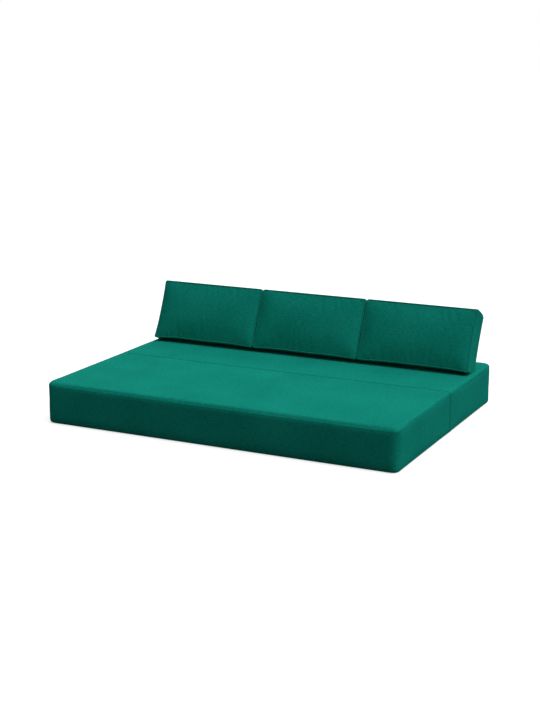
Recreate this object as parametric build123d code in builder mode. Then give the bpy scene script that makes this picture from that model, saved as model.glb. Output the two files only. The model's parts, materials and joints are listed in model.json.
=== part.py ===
from build123d import *
from math import cos, radians, sin
import os

# A frameless folding sofa, opened flat as a bed: two upholstered foam blocks lie end to end,
# joined by a fabric hinge along their top edges, with three box cushions in a row on the rear one.
# Millimetres, +Z up. X runs along the width and the front faces -Y. The origin is on the floor,
# at the centre of the opened sofa's footprint.

# Folding blocks
sofa_width = 1800
front_depth = 675
rear_depth = 625
block_height = 205
corner_radius = 30
top_radius = 14
foot_radius = 12
seam_radius = 6
seam_gap = 2

# Layers of the blocks, from the outside in
cover_thickness = 2
layer_clearance = 0.3
wadding_thickness = 15
foam_corner_radius = 18
foam_top_radius = 8
foam_foot_radius = 6
foam_seam_radius = 3
panel_margin = 16

# Fabric hinge along the top edges at the seam
hinge_rise = 0.5
hinge_cord_radius = 1.6
hinge_margin = 42
hinge_tape_thickness = 0.8
hinge_tape_depth = 40
hinge_clearance = 0.3

# Cushions, measured upright before they lean
cushion_count = 3
cushion_gap = 3.5
cushion_row_margin = 23.5
cushion_height = 306
cushion_thickness = 124
cushion_crown = 15
cushion_crown_run = 90
cushion_draw_in = 4
cushion_corner_radius = 9
cushion_front_radius = 8
cushion_back_radius = 22
cushion_lean_deg = 24.5
cushion_front_y = 335
cushion_front_z = 230
cushion_clearance = 0.3
cushion_wadding_thickness = 16
cushion_foam_radius = 4

# Piped seams between a cushion's panels and its band
welt_width = 3
welt_stand = 1.2
welt_inset = 5

# Hook-and-loop strips between the cushions and the rear block
strip_end_margin = 51
strip_depth = 44
strip_thickness = 1
strip_y = 420

# Zip fasteners, which lie in a sunk placket
placket_width = 34
placket_depth = 8
placket_end_room = 30
zip_tape_thickness = 0.8
chain_width = 6
chain_slit = 1.4
chain_thickness = 2.4
chain_stop_length = 3
slider_length = 12
slider_width = 9
slider_plate = 1
slider_post_width = 0.9
slider_post_length = 4
slider_play = 0.25
slider_floor_gap = 0.4
pull_pin_radius = 0.6
pull_pin_clearance = 0.08
pull_eye_radius = 1.2
pull_ear_thickness = 1.1
pull_ear_gap = 0.3
pull_lift = 0.2
pull_length = 28
pull_width = 6
pull_thickness = 1.2
pull_neck_width = 2.8
pull_neck_length = 8
pull_corner_radius = 2
rear_zip_end_margin = 150
rear_zip_z = 62
front_zip_length = 520
front_zip_z = 62
cushion_zip_end_margin = 91
cushion_zip_v = 74
cushion_zip_stand = 1

# Lengths and places worked out from the sizes above
overrun = 5
cushion_row = sofa_width - 2 * cushion_row_margin
cushion_length = (cushion_row - (cushion_count - 1) * cushion_gap) / cushion_count
cushion_pitch = cushion_length + cushion_gap
cushion_zip_length = cushion_length - 2 * cushion_zip_end_margin
strip_length = cushion_length - 2 * strip_end_margin
rear_zip_length = sofa_width - 2 * rear_zip_end_margin
seam_y = (front_depth - rear_depth) / 2
hinge_z = block_height + hinge_rise
hinge_length = sofa_width - 2 * hinge_margin
wadding_inset = cover_thickness + layer_clearance
foam_inset = wadding_inset + wadding_thickness + layer_clearance
cushion_foam_inset = wadding_inset + cushion_wadding_thickness + layer_clearance
cushion_foot_z = block_height + cushion_clearance
lean = radians(cushion_lean_deg)
back_direction = Vector(0, cos(lean), -sin(lean))
up_direction = Vector(0, sin(lean), cos(lean))

os.makedirs("parts", exist_ok=True)


def save(part, name):
    """Label a finished piece and write it as its own file."""
    part.label = name
    export_step(part, f"parts/{name}.step")


# Blocks

cover_radii = (corner_radius, top_radius, foot_radius, seam_radius)
foam_radii = (foam_corner_radius, foam_top_radius, foam_foot_radius, foam_seam_radius)


def drawn_in(radii, inset):
    """Radii of a surface that runs inside another at an even distance."""
    return tuple(radius - inset for radius in radii)


def block_envelope(side, depth, inset, radii):
    """Closed solid of a block, inset all round; side is 1 for the rear block and -1 for the front one."""
    corner, top, foot, seam = radii
    seam_wall = seam_gap / 2 + inset
    with BuildPart() as envelope:
        with BuildSketch(Plane.XY.offset(inset)):
            RectangleRounded(sofa_width - 2 * inset, 2 * (depth - inset), corner)
        extrude(amount=block_height - 2 * inset)
        fillet(envelope.edges().group_by(Axis.Z)[-1], top)
        fillet(envelope.edges().group_by(Axis.Z)[0], foot)
        split(bisect_by=Plane.XZ.offset(-seam_wall), keep=Keep.BOTTOM)
        fillet(envelope.faces().sort_by(Axis.Y)[0].edges(), seam)
    placed = envelope.part if side > 0 else envelope.part.mirror(Plane.XZ)
    return placed.moved(Location((0, seam_y, 0)))


def bottom_panel(side, depth):
    """Flat panel that closes a block's cover from below."""
    panel_depth = depth - seam_gap / 2 - 2 * panel_margin
    centre_y = seam_y + side * (seam_gap / 2 + panel_margin + panel_depth / 2)
    with BuildPart() as panel:
        with BuildSketch():
            with Locations((0, centre_y)):
                RectangleRounded(sofa_width - 2 * panel_margin, panel_depth, corner_radius)
        extrude(amount=cover_thickness)
    return panel.part


# Zip fasteners, each built on a plane whose origin is the middle of the placket's floor,
# whose X is the way the slider opens and whose Z points out of the placket

def placket(plane, length, wall):
    """Space of a sunk placket, grown by wall on its sides, ends and floor, with an overrun outwards."""
    with BuildPart() as space:
        with BuildSketch(plane.offset(-wall)):
            Rectangle(length + 2 * (placket_end_room + wall), placket_width + 2 * wall)
        extrude(amount=placket_depth + wall + 3 * overrun)
    return space.part


chain_level = slider_floor_gap + slider_plate + slider_play
tape_level = chain_level + (chain_thickness - zip_tape_thickness) / 2
slider_height = 2 * slider_plate + 2 * slider_play + chain_thickness
slider_top = slider_floor_gap + slider_height
pin_level = slider_top + pull_lift + pull_eye_radius
ear_offset = pull_neck_width / 2 + pull_ear_gap + pull_ear_thickness / 2


def zip_tape(plane, length):
    """Two woven tape strips, from the placket's side walls to the chain."""
    strip_width = (placket_width - chain_width) / 2
    with BuildPart() as tape:
        with BuildSketch(plane.offset(tape_level)):
            with GridLocations(0, chain_width + strip_width, 1, 2):
                Rectangle(length + 2 * placket_end_room, strip_width)
        extrude(amount=zip_tape_thickness)
    return tape.part


def zip_chain(plane, length):
    """Closed coil chain: two rows of coil with the slider's slit between them and a stop at each end."""
    with BuildPart() as chain:
        with BuildSketch(plane.offset(chain_level)):
            Rectangle(length, chain_width)
            Rectangle(length - 2 * chain_stop_length, chain_slit, mode=Mode.SUBTRACT)
        extrude(amount=chain_thickness)
    return chain.part


def slider_start(length):
    """Place of a closed zip's slider along its plane's X."""
    return chain_stop_length + slider_post_length / 2 + slider_play - length / 2


def zip_slider(plane, length):
    """Slider with two plates, the post that joins them through the slit, and ears with a pin."""
    place = (slider_start(length), 0)
    with BuildPart() as slider:
        with BuildSketch(plane.offset(slider_floor_gap)):
            with Locations(place):
                RectangleRounded(slider_length, slider_width, pull_corner_radius)
        extrude(amount=slider_height)
        with BuildSketch(plane.offset(slider_floor_gap + slider_plate)):
            with Locations(place):
                Rectangle(slider_length + overrun, slider_width + overrun)
                Rectangle(slider_post_length, slider_post_width, mode=Mode.SUBTRACT)
        extrude(amount=slider_height - 2 * slider_plate, mode=Mode.SUBTRACT)
        with BuildSketch(plane.offset(slider_top)):
            with Locations(place):
                with GridLocations(0, 2 * ear_offset, 1, 2):
                    Rectangle(2 * pull_eye_radius, pull_ear_thickness)
        extrude(amount=pin_level + pull_pin_radius - slider_top)
        pin_plane = Plane(plane.from_local_coords((place[0], 0, pin_level)), plane.x_dir, plane.y_dir)
        with BuildSketch(pin_plane.offset(-ear_offset)):
            Circle(pull_pin_radius)
        extrude(amount=2 * ear_offset)
    return slider.part


def zip_pull(plane, length):
    """Pull tab that lies along the chain, with a neck that ends in an eye round the slider's pin."""
    x = slider_start(length)
    pin_plane = Plane(plane.from_local_coords((x, 0, pin_level)), plane.x_dir, plane.y_dir)
    with BuildPart() as pull:
        with BuildSketch(plane.offset(pin_level - pull_thickness / 2)):
            with Locations((x + pull_neck_length / 2, 0)):
                Rectangle(pull_neck_length, pull_neck_width)
            with Locations((x + (pull_neck_length + pull_length) / 2, 0)):
                RectangleRounded(pull_length - pull_neck_length, pull_width, pull_corner_radius)
        extrude(amount=pull_thickness)
        with BuildSketch(pin_plane.offset(-pull_neck_width / 2)):
            Circle(pull_eye_radius)
        extrude(amount=pull_neck_width)
        with BuildSketch(pin_plane.offset(-pull_neck_width)):
            Circle(pull_pin_radius + pull_pin_clearance)
        extrude(amount=2 * pull_neck_width, mode=Mode.SUBTRACT)
    return pull.part


def save_zip(owner, plane, length):
    """Write the four pieces of one zip fastener."""
    save(zip_tape(plane, length), f"{owner}_zip_tape")
    save(zip_chain(plane, length), f"{owner}_zip_chain")
    save(zip_slider(plane, length), f"{owner}_zip_slider")
    save(zip_pull(plane, length), f"{owner}_zip_pull")


rear_zip_plane = Plane((0, seam_y + rear_depth - placket_depth, rear_zip_z), (-1, 0, 0), (0, 1, 0))
front_zip_plane = Plane(
    (placket_depth - sofa_width / 2, seam_y - front_depth / 2, front_zip_z), (0, -1, 0), (-1, 0, 0)
)


def cushion_x(number):
    """Middle of a cushion, counted from the left."""
    return (number - (cushion_count - 1) / 2) * cushion_pitch


def loop_strips(grown):
    """Row of loop strips let into the rear block's top, with an overrun above where they are a cutter."""
    with BuildPart() as strips:
        with BuildSketch(Plane.XY.offset(block_height - strip_thickness)):
            with Locations((0, strip_y)):
                with GridLocations(cushion_pitch, 0, cushion_count, 1):
                    Rectangle(strip_length, strip_depth)
        extrude(amount=strip_thickness + grown)
    return strips.part


for owner, side, depth, panel_name, zip_plane, zip_length in (
    ("front", -1, front_depth, "front_seat_panel", front_zip_plane, front_zip_length),
    ("rear", 1, rear_depth, "rear_base_panel", rear_zip_plane, rear_zip_length),
):
    panel = bottom_panel(side, depth)
    with BuildPart() as foam_core:
        add(block_envelope(side, depth, foam_inset, foam_radii))
    with BuildPart() as wadding:
        add(block_envelope(side, depth, wadding_inset, drawn_in(cover_radii, wadding_inset)))
        add(
            block_envelope(side, depth, foam_inset - layer_clearance, foam_radii),
            mode=Mode.SUBTRACT,
        )
        add(placket(zip_plane, zip_length, wadding_inset), mode=Mode.SUBTRACT)
    with BuildPart(mode=Mode.PRIVATE) as lining:
        add(block_envelope(side, depth, cover_thickness, drawn_in(cover_radii, cover_thickness)))
        add(placket(zip_plane, zip_length, cover_thickness), mode=Mode.SUBTRACT)
    with BuildPart() as cover:
        add(block_envelope(side, depth, 0, cover_radii))
        add(placket(zip_plane, zip_length, 0), mode=Mode.SUBTRACT)
        add(lining.part, mode=Mode.SUBTRACT)
        add(panel, mode=Mode.SUBTRACT)
        if side > 0:
            add(loop_strips(overrun), mode=Mode.SUBTRACT)
    save(foam_core.part, f"{owner}_foam_core")
    save(wadding.part, f"{owner}_wadding")
    save(cover.part, f"{owner}_cover")
    save(panel, panel_name)
    save_zip(owner, zip_plane, zip_length)

save(loop_strips(0), "rear_loop_strips")

# Fabric hinge: a cord on the fold's axis and a tape sewn down each seam wall

with BuildPart() as hinge_cord:
    with BuildSketch(Plane.YZ.offset(-hinge_length / 2)):
        with Locations((seam_y, hinge_z)):
            Circle(hinge_cord_radius)
    extrude(amount=hinge_length)
save(hinge_cord.part, "hinge_cord")

for owner, side, cord_space in (("front", -1, hinge_clearance), ("rear", 1, 0)):
    tape_y = seam_y + side * (seam_gap - hinge_tape_thickness) / 2
    with BuildPart() as hinge_tape:
        with BuildSketch(Plane.YZ.offset(-hinge_length / 2)):
            with Locations((tape_y, hinge_z)):
                Rectangle(hinge_tape_thickness, hinge_tape_depth, align=(Align.CENTER, Align.MAX))
            with Locations((seam_y, hinge_z)):
                Circle(hinge_cord_radius + cord_space, mode=Mode.SUBTRACT)
        extrude(amount=hinge_length)
    save(hinge_tape.part, f"{owner}_hinge_tape")

# Cushions, each drawn upright with its front seam edge on X and then leant back


def cushion_plane(number):
    """Plane of a leaning cushion: X along it, Y to its back and Z up its height."""
    return Plane((cushion_x(number), cushion_front_y, cushion_front_z), (1, 0, 0), up_direction)


def depth_plane(number, depth):
    """Plane across a cushion's thickness, at a depth behind its front corners, facing its back."""
    place = cushion_plane(number).from_local_coords((0, depth, cushion_height / 2))
    return Plane(place, (1, 0, 0), back_direction)


def cushion_middle(number):
    """Centre of a cushion."""
    return depth_plane(number, cushion_thickness / 2).origin


def front_outline(number, inset):
    """Cushion's outline seen from the front, with drawn-in sides, as a solid past its crowns."""
    half_length = cushion_length / 2 - inset
    half_height = cushion_height / 2 - inset
    with BuildPart() as block:
        with BuildSketch(depth_plane(number, cushion_thickness / 2)) as outline:
            with BuildLine():
                for side in (-1, 1):
                    ThreePointArc(
                        (-half_length, side * half_height),
                        (0, side * (half_height - cushion_draw_in)),
                        (half_length, side * half_height),
                    )
                    ThreePointArc(
                        (side * half_length, -half_height),
                        (side * (half_length - cushion_draw_in), 0),
                        (side * half_length, half_height),
                    )
            make_face()
            fillet(outline.vertices(), max(cushion_corner_radius - inset, cushion_foam_radius))
        extrude(amount=cushion_thickness, both=True)
    return block.part


def side_outline(number, inset):
    """Cushion's outline seen from its end, crowned at the front and the back."""
    half_depth = cushion_thickness / 2 - inset
    half_height = cushion_height / 2 - inset
    with BuildPart() as block:
        with BuildSketch(Plane(cushion_middle(number), back_direction, (1, 0, 0))) as outline:
            with BuildLine():
                for side in (-1, 1):
                    Line((-half_depth, side * half_height), (half_depth, side * half_height))
                    ThreePointArc(
                        (side * half_depth, -half_height),
                        (side * (half_depth + cushion_crown), 0),
                        (side * half_depth, half_height),
                    )
            make_face()
            columns = outline.vertices().group_by(Axis(cushion_middle(number), back_direction))
            fillet(columns[0], max(cushion_front_radius - inset, cushion_foam_radius))
            columns = outline.vertices().group_by(Axis(cushion_middle(number), back_direction))
            fillet(columns[-1], max(cushion_back_radius - inset, cushion_foam_radius))
        extrude(amount=cushion_length, both=True)
    return block.part


def plan_outline(number, inset):
    """Cushion's outline seen from above, whose crowns run out towards both ends."""
    half_length = cushion_length / 2 - inset
    half_depth = cushion_thickness / 2 - inset
    crest = half_depth + cushion_crown
    arc_radius = (cushion_crown_run**2 + cushion_crown**2) / (2 * cushion_crown)
    half_run = cushion_crown_run / 2
    half_rise = arc_radius - (arc_radius**2 - half_run**2) ** 0.5
    with BuildPart() as block:
        with BuildSketch(Plane(cushion_middle(number), (1, 0, 0), up_direction)):
            with BuildLine():
                for side in (-1, 1):
                    inner = side * (half_length - cushion_crown_run)
                    Line((side * half_length, -half_depth), (side * half_length, half_depth))
                    Line((-inner, side * crest), (inner, side * crest))
                    for face in (-1, 1):
                        ThreePointArc(
                            (inner, face * crest),
                            (inner + side * half_run, face * (crest - half_rise)),
                            (side * half_length, face * half_depth),
                        )
            make_face()
        extrude(amount=cushion_height, both=True)
    return block.part


def cushion_zip_plane(number):
    """Floor of the placket in a cushion's back panel."""
    floor = cushion_plane(number).from_local_coords(
        (0, cushion_thickness + cushion_zip_stand, cushion_zip_v)
    )
    return Plane(floor, (-1, 0, 0), back_direction)


def cushion_envelope(number, inset):
    """Closed solid of a leaning cushion, inset all round and pressed flat where it stands."""
    with BuildPart() as envelope:
        add(front_outline(number, inset))
        add(side_outline(number, inset), mode=Mode.INTERSECT)
        add(plan_outline(number, inset), mode=Mode.INTERSECT)
        split(bisect_by=Plane.XY.offset(cushion_foot_z + max(inset, 0)), keep=Keep.TOP)
    return envelope.part


def hook_strip(number):
    """Hook strip let into the flat foot of a cushion."""
    with BuildPart() as strip:
        with BuildSketch(Plane.XY.offset(cushion_foot_z)):
            with Locations((cushion_x(number), strip_y)):
                Rectangle(strip_length, strip_depth)
        extrude(amount=strip_thickness)
    return strip.part


def slice_between(body, number, near, far):
    """Cut a cushion's shell to the stretch between two depths; None leaves that side whole."""
    with BuildPart() as piece:
        add(body)
        if near is not None:
            split(bisect_by=depth_plane(number, near), keep=Keep.TOP)
        if far is not None:
            split(bisect_by=depth_plane(number, far), keep=Keep.BOTTOM)
    return piece.part


front_seam = welt_inset
back_seam = cushion_thickness - welt_inset

for number, owner in enumerate(("left_cushion", "middle_cushion", "right_cushion")):
    zip_plane = cushion_zip_plane(number)
    with BuildPart() as foam:
        add(cushion_envelope(number, cushion_foam_inset))
    with BuildPart() as wadding:
        add(cushion_envelope(number, wadding_inset))
        add(cushion_envelope(number, cushion_foam_inset - layer_clearance), mode=Mode.SUBTRACT)
        add(placket(zip_plane, cushion_zip_length, wadding_inset), mode=Mode.SUBTRACT)
    with BuildPart() as lining:
        add(cushion_envelope(number, cover_thickness))
        add(placket(zip_plane, cushion_zip_length, cover_thickness), mode=Mode.SUBTRACT)
    with BuildPart() as shell:
        add(cushion_envelope(number, 0))
        add(lining.part, mode=Mode.SUBTRACT)
        add(placket(zip_plane, cushion_zip_length, 0), mode=Mode.SUBTRACT)
        add(hook_strip(number), mode=Mode.SUBTRACT)
    with BuildPart() as welt_shell:
        add(cushion_envelope(number, -welt_stand))
        add(lining.part, mode=Mode.SUBTRACT)
    half_welt = welt_width / 2
    save(foam.part, f"{owner}_foam")
    save(wadding.part, f"{owner}_wadding")
    save(slice_between(shell.part, number, None, front_seam - half_welt), f"{owner}_front_panel")
    save(
        slice_between(shell.part, number, front_seam + half_welt, back_seam - half_welt),
        f"{owner}_band",
    )
    save(slice_between(shell.part, number, back_seam + half_welt, None), f"{owner}_back_panel")
    for seam, name in ((front_seam, "front_welt"), (back_seam, "back_welt")):
        save(
            slice_between(welt_shell.part, number, seam - half_welt, seam + half_welt),
            f"{owner}_{name}",
        )
    save(hook_strip(number), f"{owner}_hook_strip")
    save_zip(owner, zip_plane, cushion_zip_length)
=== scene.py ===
"""Frameless folding sofa, opened flat: upholstered blocks, box cushions and zip fasteners.

Every length is in metres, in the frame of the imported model: X along the width, the front faces -Y,
+Z up, with the origin on the floor at the centre of the opened sofa.
"""

from __future__ import annotations

import json
import logging
import math
from dataclasses import dataclass, field
from enum import Enum
from typing import Callable, Sequence

import bmesh
import bpy
from bmesh.types import BMEdge, BMesh, BMFace, BMVert
from bpy.types import Material, Node, NodeSocket, Object, World
from mathutils import Matrix, Vector, noise

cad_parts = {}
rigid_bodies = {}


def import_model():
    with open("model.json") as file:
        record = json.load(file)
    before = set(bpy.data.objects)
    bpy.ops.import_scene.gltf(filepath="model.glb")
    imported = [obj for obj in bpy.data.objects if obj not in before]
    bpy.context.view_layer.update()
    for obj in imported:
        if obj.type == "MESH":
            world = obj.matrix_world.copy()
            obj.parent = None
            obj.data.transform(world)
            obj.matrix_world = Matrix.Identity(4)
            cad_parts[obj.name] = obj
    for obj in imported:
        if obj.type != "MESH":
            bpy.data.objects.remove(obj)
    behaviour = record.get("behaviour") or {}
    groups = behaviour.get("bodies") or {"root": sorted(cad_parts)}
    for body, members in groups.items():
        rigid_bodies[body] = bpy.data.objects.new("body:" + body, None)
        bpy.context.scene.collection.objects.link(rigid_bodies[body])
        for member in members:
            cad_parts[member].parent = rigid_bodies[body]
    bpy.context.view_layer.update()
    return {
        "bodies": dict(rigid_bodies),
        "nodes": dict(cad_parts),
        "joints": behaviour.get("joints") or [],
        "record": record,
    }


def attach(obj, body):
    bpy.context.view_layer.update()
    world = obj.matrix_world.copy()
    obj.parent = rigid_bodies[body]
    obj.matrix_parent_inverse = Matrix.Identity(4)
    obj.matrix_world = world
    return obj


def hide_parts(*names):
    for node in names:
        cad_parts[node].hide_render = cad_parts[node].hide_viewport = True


log = logging.getLogger("folding_sofa")

Colour = tuple[float, float, float]


class Side(Enum):
    """The two folding blocks, by the side of the seam that they lie on."""

    FRONT = -1
    REAR = 1


class Face(Enum):
    """Panels of a padded form, by where the loft makes them."""

    FIRST_CAP = 0
    WALL = 1
    LAST_CAP = 2
    SEWN_PANEL = 3


# Materials


class NodeSketch:
    """Node tree of a material or a world, written one node a line."""

    def __init__(self, owner: Material | World) -> None:
        """Start from the nodes that a new material or world comes with.

        Args:
            owner: The material or world.
        """
        owner.use_nodes = True
        self.owner = owner
        self.tree = owner.node_tree

    def add(self, kind: str, inputs: dict[int | str, object] | None = None, **settings: object) -> Node:
        """Add a node.

        Args:
            kind: Blender's name of the node type.
            inputs: Value or source socket of each input, by its name or number.
            **settings: Attributes of the node.

        Returns:
            The new node.
        """
        node = self.tree.nodes.new(kind)
        for key, value in settings.items():
            setattr(node, key, value)
        for key, value in (inputs or {}).items():
            self.feed(node.inputs[key], value)
        return node

    def feed(self, socket: NodeSocket, value: object) -> None:
        """Link a socket to another one, or set its value.

        Args:
            socket: Input to feed.
            value: Output socket, number, vector or colour.
        """
        if isinstance(value, NodeSocket):
            self.tree.links.new(value, socket)
        elif isinstance(value, tuple) and len(value) == 3 and socket.type == "RGBA":
            socket.default_value = (*value, 1.0)
        else:
            socket.default_value = value

    def number(self, operation: str, *values: object) -> NodeSocket:
        """Add a Math node and return its output."""
        return self.add("ShaderNodeMath", dict(enumerate(values)), operation=operation).outputs[0]

    def speckle(
        self, place: NodeSocket, scale: float | tuple[float, float, float], detail: float = 2.0
    ) -> NodeSocket:
        """Noise between 0 and 1.

        Args:
            place: Socket with the coordinates.
            scale: Noise cells for each unit of the coordinates, or of each of their axes.
            detail: Octaves.

        Returns:
            The noise's output socket.
        """
        if isinstance(scale, tuple):
            place = self.add("ShaderNodeMapping", {"Vector": place, "Scale": scale}).outputs[0]
            scale = 1.0
        inputs = {"Vector": place, "Scale": scale, "Detail": detail}
        return self.add("ShaderNodeTexNoise", inputs).outputs[0]

    def between(
        self, value: NodeSocket, to: Sequence[float] = (0, 1), low: float = 0.3, high: float = 0.7
    ) -> NodeSocket:
        """Map a number from one range to another, held at the ends."""
        inputs = {"Value": value, "From Min": low, "From Max": high, "To Min": to[0], "To Max": to[1]}
        return self.add("ShaderNodeMapRange", inputs).outputs[0]

    def tinted(self, factor: NodeSocket, first: object, second: object) -> NodeSocket:
        """Mix two colours.

        Args:
            factor: How much of the second colour shows.
            first: Colour or socket.
            second: Colour or socket.

        Returns:
            The mixed colour.
        """
        node = self.add("ShaderNodeMix", data_type="RGBA")
        for socket, value in zip((node.inputs[0], node.inputs[6], node.inputs[7]), (factor, first, second)):
            self.feed(socket, value)
        return node.outputs[2]

    def raised(self, height: NodeSocket, strength: float, distance: float) -> None:
        """Feed a height to the shader's normal through a Bump node."""
        bump = self.add("ShaderNodeBump", {"Height": height, "Strength": strength, "Distance": distance})
        self.finish(Normal=bump.outputs[0])

    def finish(self, **values: object) -> Material:
        """Set the shader's own sockets and return the material.

        Args:
            **values: Value or socket of each input, with underscores for the spaces in its name.

        Returns:
            The finished material.
        """
        shader = self.tree.nodes["Principled BSDF"]
        for key, value in values.items():
            self.feed(shader.inputs[key.replace("_", " ")], value)
        return self.owner


@dataclass(frozen=True)
class MelangeFabric:
    """Plain-woven upholstery fabric of mixed green yarns, laid out on the piece's own UV map in metres."""

    name: str = "green_melange_fabric"
    deep: Colour = (0.0030, 0.170, 0.128)
    body: Colour = (0.0044, 0.229, 0.173)
    pale: Colour = (0.0100, 0.285, 0.219)
    thread_pitch: float = 0.0016
    relief: float = 0.0005

    def make(self) -> Material:
        """Build the material.

        Returns:
            Fabric with slubs, flecks, a weave, and painted shade that darkens the cloth in its seam grooves.
        """
        sketch = NodeSketch(bpy.data.materials.new(self.name))
        place = sketch.add("ShaderNodeUVMap", uv_map="cloth").outputs[0]
        weft = sketch.speckle(place, (38, 420, 1), 3.0)
        warp = sketch.speckle(place, (360, 52, 1), 2.0)
        fleck = sketch.speckle(place, (70, 165, 1), 4.0)
        cloud = sketch.speckle(place, 4.2, 3.0)
        yarns = sketch.number("MULTIPLY_ADD", weft, 0.38, sketch.number("MULTIPLY", warp, 0.20))
        yarns = sketch.number("MULTIPLY_ADD", fleck, 0.42, yarns)
        tone = sketch.number("MULTIPLY_ADD", sketch.number("SUBTRACT", cloud, 0.5), 0.20, yarns)
        colour = sketch.tinted(sketch.between(tone, (0, 1), 0.36, 0.51), self.deep, self.body)
        colour = sketch.tinted(sketch.between(tone, (0, 1), 0.49, 0.66), colour, self.pale)
        # Painted shade: the seam attribute darkens the cloth towards the deep tone in the seam grooves.
        seam = sketch.add("ShaderNodeAttribute", attribute_name="seam").outputs["Fac"]
        colour = sketch.tinted(sketch.number("MULTIPLY", seam, 0.45), colour, self.deep)
        split = sketch.add("ShaderNodeSeparateXYZ", {0: place})
        turns = math.tau / self.thread_pitch
        waves = [sketch.number("SINE", sketch.number("MULTIPLY", split.outputs[i], turns)) for i in (0, 1)]
        weave = sketch.number("MULTIPLY_ADD", sketch.number("MULTIPLY", *waves), 0.30, 0.35)
        nap = sketch.speckle(place, 900.0, 2.0)
        height = sketch.number("MULTIPLY_ADD", nap, 0.25, weave)
        height = sketch.number("MULTIPLY_ADD", yarns, 0.55, height)
        sketch.raised(height, 0.55, self.relief)
        return sketch.finish(
            Base_Color=colour,
            Roughness=sketch.between(fleck, (0.82, 0.96)),
            Specular_IOR_Level=0.010,
            Sheen_Weight=0.04,
            Sheen_Roughness=0.5,
            Sheen_Tint=(0.02, 0.55, 0.44, 1.0),
        )


@dataclass(frozen=True)
class SolidCloth:
    """Cloth on Object coordinates, for piping, tapes and inner layers."""

    name: str
    dark: Colour
    light: Colour
    grain: tuple[float, float, float] = (300.0, 300.0, 300.0)
    roughness: float = 0.9
    relief: float = 0.0004
    ribs: float = 0.0

    def make(self) -> Material:
        """Build the material.

        Returns:
            Cloth with a two-tone grain, a nap and, where ribs isn't 0, fine diagonal ribs.
        """
        sketch = NodeSketch(bpy.data.materials.new(self.name))
        place = sketch.add("ShaderNodeTexCoord").outputs["Object"]
        grain = sketch.speckle(place, self.grain, 3.0)
        cloud = sketch.speckle(place, 9.0, 2.0)
        tone = sketch.number("MULTIPLY_ADD", cloud, 0.3, sketch.number("MULTIPLY", grain, 0.7))
        height = sketch.speckle(place, 1100.0, 2.0)
        if self.ribs:
            split = sketch.add("ShaderNodeSeparateXYZ", {0: place}).outputs
            along = sketch.number("ADD", split[0], sketch.number("ADD", split[1], split[2]))
            rib = sketch.number("SINE", sketch.number("MULTIPLY", along, math.tau / self.ribs))
            height = sketch.number("MULTIPLY_ADD", rib, 0.5, height)
        sketch.raised(height, 0.6, self.relief)
        rough = (self.roughness - 0.08, min(1.0, self.roughness + 0.06))
        return sketch.finish(
            Base_Color=sketch.tinted(sketch.between(tone), self.dark, self.light),
            Roughness=sketch.between(grain, rough),
            Specular_IOR_Level=0.04,
        )


@dataclass(frozen=True)
class CellFoam:
    """Cut polyurethane foam with open cells."""

    name: str = "cut_foam"
    colour: Colour = (0.66, 0.58, 0.36)
    cells: float = 420.0

    def make(self) -> Material:
        """Build the material.

        Returns:
            Pale foam pitted with small cells, with painted shade that darkens the pits.
        """
        sketch = NodeSketch(bpy.data.materials.new(self.name))
        place = sketch.add("ShaderNodeTexCoord").outputs["Object"]
        pits = sketch.add("ShaderNodeTexVoronoi", {"Vector": place, "Scale": self.cells}).outputs["Distance"]
        cloud = sketch.speckle(place, 6.0, 3.0)
        # Painted shade: the cell pits are darker where the bump sinks them.
        shade = sketch.between(pits, (0.62, 1.0), 0.1, 0.6)
        colour = sketch.tinted(shade, tuple(0.6 * c for c in self.colour), self.colour)
        aged = sketch.tinted(sketch.between(cloud, (0, 0.4), 0.4, 0.7), colour, (0.60, 0.46, 0.22))
        sketch.raised(pits, 0.5, 0.0006)
        rough = sketch.between(cloud, (0.86, 0.97))
        return sketch.finish(Base_Color=aged, Roughness=rough, Specular_IOR_Level=0.2)


@dataclass(frozen=True)
class GripBase:
    """Dark non-woven base fabric with raised rubber dots that stop the sofa from sliding."""

    name: str = "dotted_grip_base"
    cloth: Colour = (0.020, 0.022, 0.024)
    dot: Colour = (0.008, 0.008, 0.009)
    pitch: float = 0.012

    def make(self) -> Material:
        """Build the material.

        Returns:
            Felted cloth with a square grid of dots.
        """
        sketch = NodeSketch(bpy.data.materials.new(self.name))
        place = sketch.add("ShaderNodeUVMap", uv_map="cloth").outputs[0]
        squares = []
        for axis in sketch.add("ShaderNodeSeparateXYZ", {0: place}).outputs[:2]:
            share = sketch.number("FRACT", sketch.number("DIVIDE", axis, self.pitch))
            cell = sketch.number("SUBTRACT", share, 0.5)
            squares.append(sketch.number("MULTIPLY", cell, cell))
        reach = sketch.number("SQRT", sketch.number("ADD", *squares))
        dots = sketch.between(reach, (1, 0), 0.17, 0.23)
        felt = sketch.speckle(place, 700.0, 4.0)
        cloth = sketch.tinted(sketch.between(felt), self.cloth, tuple(2.2 * c for c in self.cloth))
        sketch.raised(sketch.number("MULTIPLY_ADD", felt, 0.25, dots), 0.7, 0.0007)
        return sketch.finish(
            Base_Color=sketch.tinted(dots, cloth, self.dot),
            Roughness=sketch.between(dots, (0.94, 0.5), 0, 1),
            Specular_IOR_Level=0.3,
        )


@dataclass(frozen=True)
class CoilNylon:
    """Dyed nylon of the zips' coils."""

    name: str = "coil_nylon"
    colour: Colour = (0.004, 0.105, 0.082)

    def make(self) -> Material:
        """Build the material.

        Returns:
            Satin nylon with drawn-out streaks.
        """
        sketch = NodeSketch(bpy.data.materials.new(self.name))
        place = sketch.add("ShaderNodeTexCoord").outputs["Object"]
        streak = sketch.speckle(place, 520.0, 2.0)
        rough = sketch.between(streak, (0.32, 0.5))
        sketch.raised(streak, 0.25, 0.0001)
        colour = sketch.tinted(streak, self.colour, tuple(1.5 * c for c in self.colour))
        return sketch.finish(Base_Color=colour, Roughness=rough, Specular_IOR_Level=0.4)


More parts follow.
